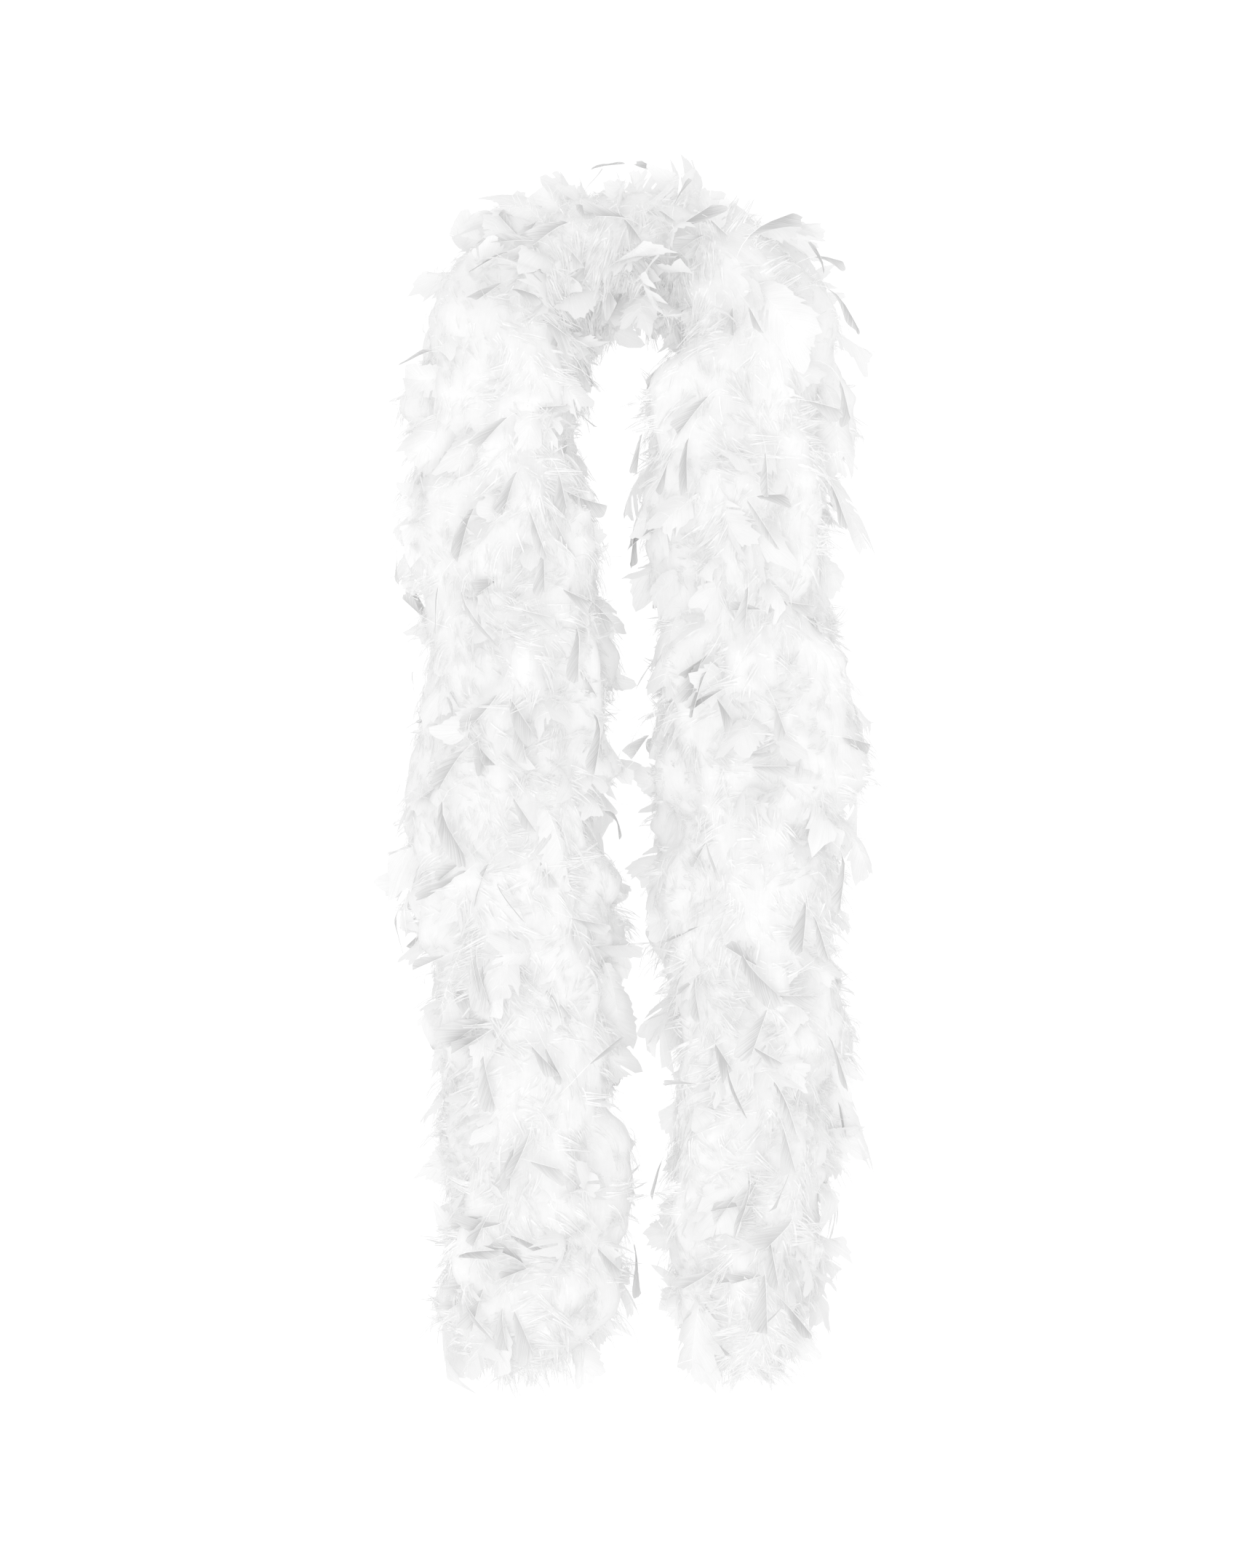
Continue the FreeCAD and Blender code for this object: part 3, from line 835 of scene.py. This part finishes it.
class Feathers:
    """A batch of feathers as arrays, one row a feather: its root, frame and measures."""

    STATIONS = 13

    def __init__(self, rng, roots, radial, droop, measures):
        share = np.linspace(0.0, 1.0, self.STATIONS)
        lean = quill_lean(measures, share)
        across = unit(np.cross(droop, radial))
        out = spun(radial[:, None], across[:, None], measures["swirl"][:, None] * share)
        way = spun(droop[:, None], out, lean)
        step = measures["length"][:, None, None] / (self.STATIONS - 1)
        path = np.cumsum(0.5 * (way[:, 1:] + way[:, :-1]) * step, axis=1)
        path = np.concatenate([np.zeros_like(path[:, :1]), path], axis=1)
        self.points = roots[:, None] + path
        self.way = unit(way)
        back = spun(out, -droop[:, None], lean)
        side = np.cross(self.way, back)
        self.back = unit(spun(back, side, measures["roll"][:, None] * share))
        self.side = np.cross(self.way, self.back)
        self.droop = droop
        self.length = measures["length"]
        self.rng = rng

    def at(self, share):
        """Point, way, side and back at shares (feathers, barbs) along each quill."""
        place = np.clip(share, 0.0, 1.0) * (self.STATIONS - 1)
        low = np.minimum(place.astype(int), self.STATIONS - 2)
        part = (place - low)[..., None]
        rows = np.arange(len(self.points))[:, None]
        found = []
        for values in (self.points, self.way, self.side, self.back):
            found.append(values[rows, low] * (1 - part) + values[rows, low + 1] * part)
        return found

    def quills(self):
        """The quills, each with its bound end lying along the cord above its root."""
        bound = self.points[:, :1] - self.droop[:, None] * BOUND_LENGTH
        middles = np.concatenate([bound, self.points], axis=1)
        radii = QUILL_RADIUS * np.linspace(1.0, QUILL_TIP_SHARE, self.STATIONS + 1)
        radii = np.broadcast_to(radii, middles.shape[:2])
        across = np.concatenate([self.side[:, :1], self.side], axis=1)
        return tubes(middles, radii, QUILL_SIDES, across)

    def barb_slants(self, share, style):
        """The angle between the quill and the barbs of each row."""
        fan = np.clip((share - style["fan"]) / (1.0 - style["fan"]), 0, 1)
        first, last = style["slant"]
        angle = np.radians(first + (last - first) * share) * (1 - fan)
        wander = smooth_noise(self.rng, len(self.points), style["rows"], SLANT_KNOTS)
        return angle + np.radians(style["wander"]) * wander * np.sqrt(angle / angle[0])

    def barb_lengths(self, share, along, slant, style):
        """How long the barb of each row is: as far as the vane's side edge, or its end."""
        count, rng, rows = len(self.points), self.rng, style["rows"]
        sine, cosine = np.sin(slant), np.cos(slant)
        widening = 0.25 * FULL_TURN * np.clip(share / style["full"], SHAPE_FIRST, 1)
        tapered = ((share - TAPER_START) / (1.0 - TAPER_START)).clip(0, 1) ** TAPER_POWER
        shape = np.sin(widening) ** SHAPE_POWER * (1.0 - style["taper"] * tapered)
        to_edge = style["width"][:, None] * shape / np.maximum(sine, LEAST_SINE)
        cut = (style["cut"] * style["width"] * rng.uniform(*CUT_SPREAD, count))[:, None]
        slope = style["skew"] * rng.uniform(-1.0, 1.0, count)[:, None]
        ahead = (1.0 - along) * self.length[:, None]
        to_end = (cut + ahead) / np.maximum(cosine - slope * sine, LEAST_END_SLOPE)
        reach = np.minimum(to_edge, to_end)
        teeth = np.where(np.arange(rows) % 2, 1.0 - style["teeth"], 1.0)
        teeth = teeth + style["teeth"] * TOOTH_SPREAD * rng.normal(0, 1, reach.shape)
        edge = 1.0 + EDGE_WANDER * smooth_noise(rng, count, rows, EDGE_KNOTS)
        return reach * teeth.clip(*TOOTH_LIMITS) * edge

    def vane(self, hand, style):
        """One side of each vane, a sheet whose rows are its barbs. They slant forwards, and
        near the tip they fan round to a blunt or slanting end. Odd barbs stop short of even
        ones, which leaves the fine teeth of a feather's edge, and a few rows split."""
        count, rng, rows, stations = len(self.points), self.rng, style["rows"], style["stations"]
        start = style["start"][:, None]
        share = np.linspace(0.0, 1.0, rows)
        along = start + (1.0 - start) * share
        slant = self.barb_slants(share, style)
        reach = self.barb_lengths(share, along, slant, style)
        point, way, side, back = self.at(along)
        barb = spun(way, hand * side, slant)
        u = np.linspace(0.0, 1.0, stations)
        run = reach[..., None] * u
        bow = -style["cup"][:, None, None] * run**2 / style["width"][:, None, None]
        wave = smooth_noise(rng, count, rows, WAVE_KNOTS)[..., None] * style["wave"]
        wave = wave * u**WAVE_POWER
        vertices = (
            point[:, :, None] + barb[:, :, None] * run[..., None]
            + back[:, :, None] * (bow + wave)[..., None]
            + way[:, :, None] * (BARB_SWEEP * run * u)[..., None]
        )
        first = (np.arange(count)[:, None, None] * rows + np.arange(rows - 1)[:, None]) * stations
        first = first + np.arange(stations - 1)
        faces = np.stack([first, first + 1, first + stations + 1, first + stations], axis=-1)
        if hand < 0:
            faces = faces[..., ::-1]
        split = rng.random((count, rows - 1)) < style["splits"]
        depth = rng.integers(1, stations - 1, (count, rows - 1))
        kept = ~(split[..., None] & (np.arange(stations - 1) >= depth[..., None]))
        feather, row, station = np.meshgrid(np.arange(count), share, u, indexing="ij")
        streaks = np.stack([FEATHER_STEP * feather + row, station], axis=-1)
        return vertices.reshape(-1, 3), faces[kept], streaks.reshape(-1, 2)

    def down(self, style):
        """Loose barbs all round each quill, thin and curling, that sag a little."""
        count, rng, barbs, start = len(self.points), self.rng, style["barbs"], style["start"]
        long = rng.uniform(*style["long"], count)
        along = np.arange(barbs) + rng.random((count, barbs))
        point, way, side, back = self.at(start + (1.0 - start) * along / barbs)
        turn = rng.random((count, barbs)) * FULL_TURN
        alpha = np.radians(rng.uniform(*DOWN_ANGLES, (count, barbs)))
        round_quill = spun(side, back * DOWN_FLATNESS, turn)
        barb = unit(spun(way, round_quill, alpha))
        length = long[:, None] * rng.uniform(*DOWN_SHARES, (count, barbs))
        curl = unit(rng.normal(0, 1, (count, barbs, 3)))
        curl = unit(square_to(curl, barb))
        u = np.linspace(0.0, 1.0, DOWN_STATIONS)[:, None]
        run = length[..., None, None] * u
        middles = (
            point[:, :, None]
            + barb[:, :, None] * run * (1 - DOWN_SHORTENING * u)
            + curl[:, :, None] * run * u * DOWN_CURL
            + DOWN * run * u * DOWN_SAG
        )
        half = unit(np.cross(barb, curl))[:, :, None] * 0.5 * style["wide"]
        halves = np.broadcast_to(half * (1.0 - DOWN_THINNING * u), middles.shape)
        shape = (-1, DOWN_STATIONS, 3)
        return ribbons(middles.reshape(shape), halves.reshape(shape))


# --- growing them on a section ---

NECK_DENSITY = 1.9
GOLDEN_TURN = 2.39996
AZIMUTH_SPREAD, CLEAR_SPREAD = 0.35, (0.8, 1.2)
NAPE_MIX = 0.08               # nearer to the top than this, some feathers droop the other way
DOWN_PULL, CORD_PULL = 0.8, 0.7
ARCH_TURN, ARCH_FIRST_LEAN, ARCH_LAST_LEAN = 45.0, 8.0, 22.0    # degrees more on the arch
END_REACH, END_TAPER = 0.62, 0.07
LONGEST_REACH = 0.091
FITTING_PASSES, FITTING_LIMITS = 2, (0.5, 1.6)
SPARE = 0.003                 # how far past the CAD box a quill may stand
SHORTENING_PASSES, SHORTENING = 4, 0.88
LEAN_SAMPLES = 24


def rooted(rng, section, kind):
    """Where a batch's feathers grow: their sides, their distances along the cord and their
    angles round it."""
    span = section["end"] - section["start"]
    if is_neck(section):
        count = int(kind["per_metre"] * 2 * span * NECK_DENSITY)
        side = np.where(np.arange(count) % 2, 1, -1)
    else:
        count = int(kind["per_metre"] * span)
        side = np.full(count, section["side"])
    along = section["start"] + span * (np.arange(count) + rng.random(count)) / count
    along = np.minimum(along, HALF_LENGTH - kind["clear"] * rng.uniform(*CLEAR_SPREAD, count))
    azimuth = np.arange(count) * GOLDEN_TURN + rng.normal(0, AZIMUTH_SPREAD, count)
    azimuth = azimuth % FULL_TURN
    if kind["facing"]:
        azimuth = rng.choice((-0.5, 0.5), count) * math.pi + rng.normal(0, kind["facing"], count)
    if kind["around"]:
        azimuth = side * rng.normal(*kind["around"], count)
    return side, along, azimuth


def droop_ways(rng, kind, side, along, radial, downward, raised):
    """The ways that feathers droop, square to where they point from the cord: between
    straight down and down the cord, and spread about that."""
    count = len(along)
    parted = rng.random(count) < 0.5 * (1.0 - along / NAPE_MIX).clip(0.0, 1.0)
    hang = DOWN * DOWN_PULL + downward * np.where(parted, -1.0, 1.0)[:, None] * CORD_PULL
    hang = unit(square_to(hang, radial))
    turn = np.radians(rng.normal(0, 1, count) * (kind["turn"] + ARCH_TURN * raised))
    turn = turn + math.radians(kind["ahead"]) * side
    return spun(hang, np.cross(radial, hang), turn)


def grow(rng, section, kind):
    """A batch of feathers over a whole section, sized to fill the pile's outline."""
    side, along, azimuth = rooted(rng, section, kind)
    count = len(along)
    points, outward, downward = cord_frames(side, along)
    radial = spun(outward, np.cross(downward, outward), azimuth)
    arch = arch_share(along)
    raised = arch * kind["raised"]
    droop = droop_ways(rng, kind, side, along, radial, downward, raised)
    measures = {
        "from": np.radians(rng.uniform(*kind["from"], count) + ARCH_FIRST_LEAN * raised),
        "to": np.radians(rng.uniform(*kind["to"], count) + ARCH_LAST_LEAN * raised),
        "curl": np.radians(rng.uniform(*kind["curl"], count)),
        "swirl": np.radians(rng.normal(0, kind["swirl"], count)),
        "roll": np.radians(rng.normal(0, kind["roll"], count)),
        "bend": kind["bend"],
    }
    share = rng.uniform(*kind["reach"], count) * (1.0 - kind["tucked"] * arch)
    low_end = END_REACH + (1.0 - END_REACH) * ease((HALF_LENGTH - along) / END_TAPER)
    reach = pile_reach(side, points[:, 2], along, np.cos(azimuth))
    rise = np.sin(quill_lean(measures, np.linspace(0, 1, LEAN_SAMPLES))).mean(axis=1)
    measures["length"] = reach * share / rise * low_end
    swell = lumps(side * along, side * azimuth, arch)
    roots = points + radial * CORD_RADIUS
    rows = np.arange(count)
    for _ in range(FITTING_PASSES):
        quills = Feathers(rng, roots, radial, droop, measures).points
        stand = square_to(quills - points[:, None], downward[:, None])
        away = np.linalg.norm(stand, axis=-1)
        furthest = np.argmax(away, axis=1)
        toward = (stand[rows, furthest] * outward).sum(-1) / away[rows, furthest]
        wanted = pile_reach(side, points[:, 2], along, toward) * share - kind["short"] + swell
        wanted = np.minimum(wanted, LONGEST_REACH) * low_end
        scale = (wanted / away[rows, furthest]).clip(*FITTING_LIMITS)
        measures["length"] = measures["length"] * scale
    for _ in range(SHORTENING_PASSES):
        quills = Feathers(rng, roots, radial, droop, measures).points
        past = (quills < np.array(cad_low) - SPARE) | (quills > np.array(cad_high) + SPARE)
        shorter = np.where(past.any(axis=(1, 2)), SHORTENING, 1.0)
        measures["length"] = measures["length"] * shorter
    return Feathers(rng, roots, radial, droop, measures)


# --- the finest down ---

TUFTS_PER_METRE, NECK_TUFTS, STRANDS, STRAND_STATIONS = 8000, 1.5, 6, 4
TUFT_DEPTH = 0.03             # how much deeper than the skin the tufts are rooted, as a share
COMB, COMB_PITCH = 2.2, 0.030
RUFFLE, RUFFLE_PITCH, RUFFLES_ROUND, RUFFLE_SPREAD = 0.7, 0.010, 4.0, 0.2
TUFT_LENGTH, STRAND_SHARE, STRAND_HALF_WIDTH = (0.010, 0.028), (0.6, 1.0), (0.0003, 0.0007)
STRANDS_APART, STRANDS_JOINING, STRAND_TILT, STRAND_THINNING = 0.0024, 0.7, 0.3, 0.6
LEAST_LIFT, LIFT_SPREAD, LIFT_BENDING, RUN_START, RUN_GAIN = 0.2, (0.9, 1.1), 0.35, 0.35, 0.55
UNDER_DOWN_PER_METRE, UNDER_LENGTH, UNDER_HALF_WIDTH = 3000, (0.012, 0.032), 0.0003
UNDER_BENDING, UNDER_CURL, UNDER_ALONG, UNDER_SAG, UNDER_DRIFT = 0.25, 0.5, 0.5, 0.3, 0.7


def fur(rng, section):
    """Fine down that stands on the skin in tufts, whose strands lean together to a point."""
    first, last = skin_span(section)
    density = TUFTS_PER_METRE * abs(last - first)
    tufts = int(density * (NECK_TUFTS if is_neck(section) else 1.0))
    signed = rng.uniform(min(first, last), max(first, last), tufts)
    angle = rng.uniform(0, FULL_TURN, tufts)
    surface = Surface(signed, angle, SKIN_SHARE - TUFT_DEPTH)
    comb = COMB * surface_noise(COMB_LAYER, signed, angle, COMB_PITCH)
    ruffles = surface_noise(RUFFLE_LAYER, signed, RUFFLES_ROUND * angle, RUFFLE_PITCH)
    comb = comb + RUFFLE * ruffles + rng.normal(0, RUFFLE_SPREAD, tufts)
    flat = spun(unit(surface.downward + DOWN), surface.round_cord, comb)
    size = (tufts, STRANDS, 1, 1)
    u = np.linspace(0.0, 1.0, STRAND_STATIONS)[:, None]
    length = rng.uniform(*TUFT_LENGTH, (tufts, 1, 1, 1)) * rng.uniform(*STRAND_SHARE, size)
    lift = LEAST_LIFT + rng.random((tufts, 1, 1, 1)) ** 2 * rng.uniform(*LIFT_SPREAD, size)
    apart = rng.normal(0, STRANDS_APART, (tufts, STRANDS, 1, 3))
    path = (
        surface.points[:, None, None] + apart * (1.0 - STRANDS_JOINING * u)
        + surface.radial[:, None, None] * length * lift * u * (1.0 - LIFT_BENDING * u)
        + flat[:, None, None] * length * u * (RUN_START + RUN_GAIN * u)
    )
    broad = np.cross(flat, surface.radial)[:, None, None]
    broad = unit(broad + rng.normal(0, STRAND_TILT, (tufts, STRANDS, 1, 3)))
    halves = broad * rng.uniform(*STRAND_HALF_WIDTH, size) * (1.0 - STRAND_THINNING * u)
    shape = (-1, STRAND_STATIONS, 3)
    return ribbons(path.reshape(shape), halves.reshape(shape))


def under_down(rng, section):
    """Short down close round the cord."""
    first, last = section_span(section)
    count = int(UNDER_DOWN_PER_METRE * abs(last - first))
    along = rng.uniform(min(first, last), max(first, last), count)
    middles = read_line(LINE, along)
    down_cord = unit(read_line(LINE_WAY, along)) * np.where(along < 0, -1.0, 1.0)[:, None]
    way = unit(square_to(unit(rng.normal(0, 1, (count, 3))), down_cord))
    curl = unit(rng.normal(0, 1, (count, 3)))
    u = np.linspace(0.0, 1.0, STRAND_STATIONS)[:, None]
    length = rng.uniform(*UNDER_LENGTH, count)[:, None, None]
    drift = UNDER_CURL * curl + UNDER_ALONG * down_cord + UNDER_SAG * DOWN
    path = (
        middles[:, None] + way[:, None] * (CORD_RADIUS + length * u * (1 - UNDER_BENDING * u))
        + drift[:, None] * length * u * u * UNDER_DRIFT
    )
    flat = unit(np.cross(way, curl))[:, None]
    return ribbons(path, flat * UNDER_HALF_WIDTH * (1.0 - STRAND_THINNING * u))


# --- all the feathers ---

FIRST_SEED = 100


def section_feathers(index, section):
    """One section's vanes, its turned vanes painted dark grey as painted shade, and its down."""
    name = section["name"]
    rng = np.random.default_rng(FIRST_SEED + index)
    sheets, fluff, quills = [], [under_down(rng, section)], []
    kinds = (LYING, STANDING, HANGING) if is_neck(section) else (LYING, STANDING)
    for kind in kinds:
        broad = grow(rng, section, kind)
        style = drawn_style(rng, BROAD_VANE, len(broad.length))
        sheets += [broad.vane(-1.0, style), broad.vane(1.0, style)]
        quills.append(broad.quills())
        fluff.append(broad.down(BROAD_DOWN))
    new_piece(name + "_vanes", sheets, VANE, section, "feathers")
    downy = grow(rng, section, DOWNY)
    fluff.append(downy.down(DOWNY_DOWN))
    new_piece(name + "_fluff", fluff, DOWN_WHITE, section)
    new_piece(name + "_down_mass", [skin(section)], DOWN_MASS, section, "down")
    new_piece(name + "_fur", [fur(rng, section)], DOWN_WHITE, section)
    turned = grow(rng, section, TURNED)
    style = drawn_style(rng, NARROW_VANE, len(turned.length))
    # One side of each turned vane, in the dark grey of painted shade.
    painted_shade_sheets = [turned.vane(1.0, style)]
    new_piece(name + "_painted_shade_vanes", painted_shade_sheets, PAINTED_SHADE_VANE, section)
    quills += [downy.quills(), turned.quills()]
    new_piece(name + "_quills", quills, QUILL, section)


for index, section in enumerate(SECTIONS):
    section_feathers(index, section)

# --- the floor ---

FLOOR_RADIUS, FLOOR_SIDES, FLOOR_HEIGHT = 1.3, 96, -1.26
FLOOR_GREY, FLOOR_ROUGHNESS = 0.88, 0.8


def floor():
    """A round pale floor well below the tails, out of the front view."""
    bpy.ops.mesh.primitive_circle_add(
        vertices=FLOOR_SIDES, radius=FLOOR_RADIUS, fill_type="NGON",
        location=(0.0, 0.0, FLOOR_HEIGHT))
    disc = bpy.context.object
    disc.name = "floor"
    material = bpy.data.materials.new("pale_floor")
    material.use_nodes = True
    shader = material.node_tree.nodes["Principled BSDF"]
    shader.inputs["Base Color"].default_value = (FLOOR_GREY, FLOOR_GREY, FLOOR_GREY, 1.0)
    shader.inputs["Roughness"].default_value = FLOOR_ROUGHNESS
    disc.data.materials.append(material)


floor()
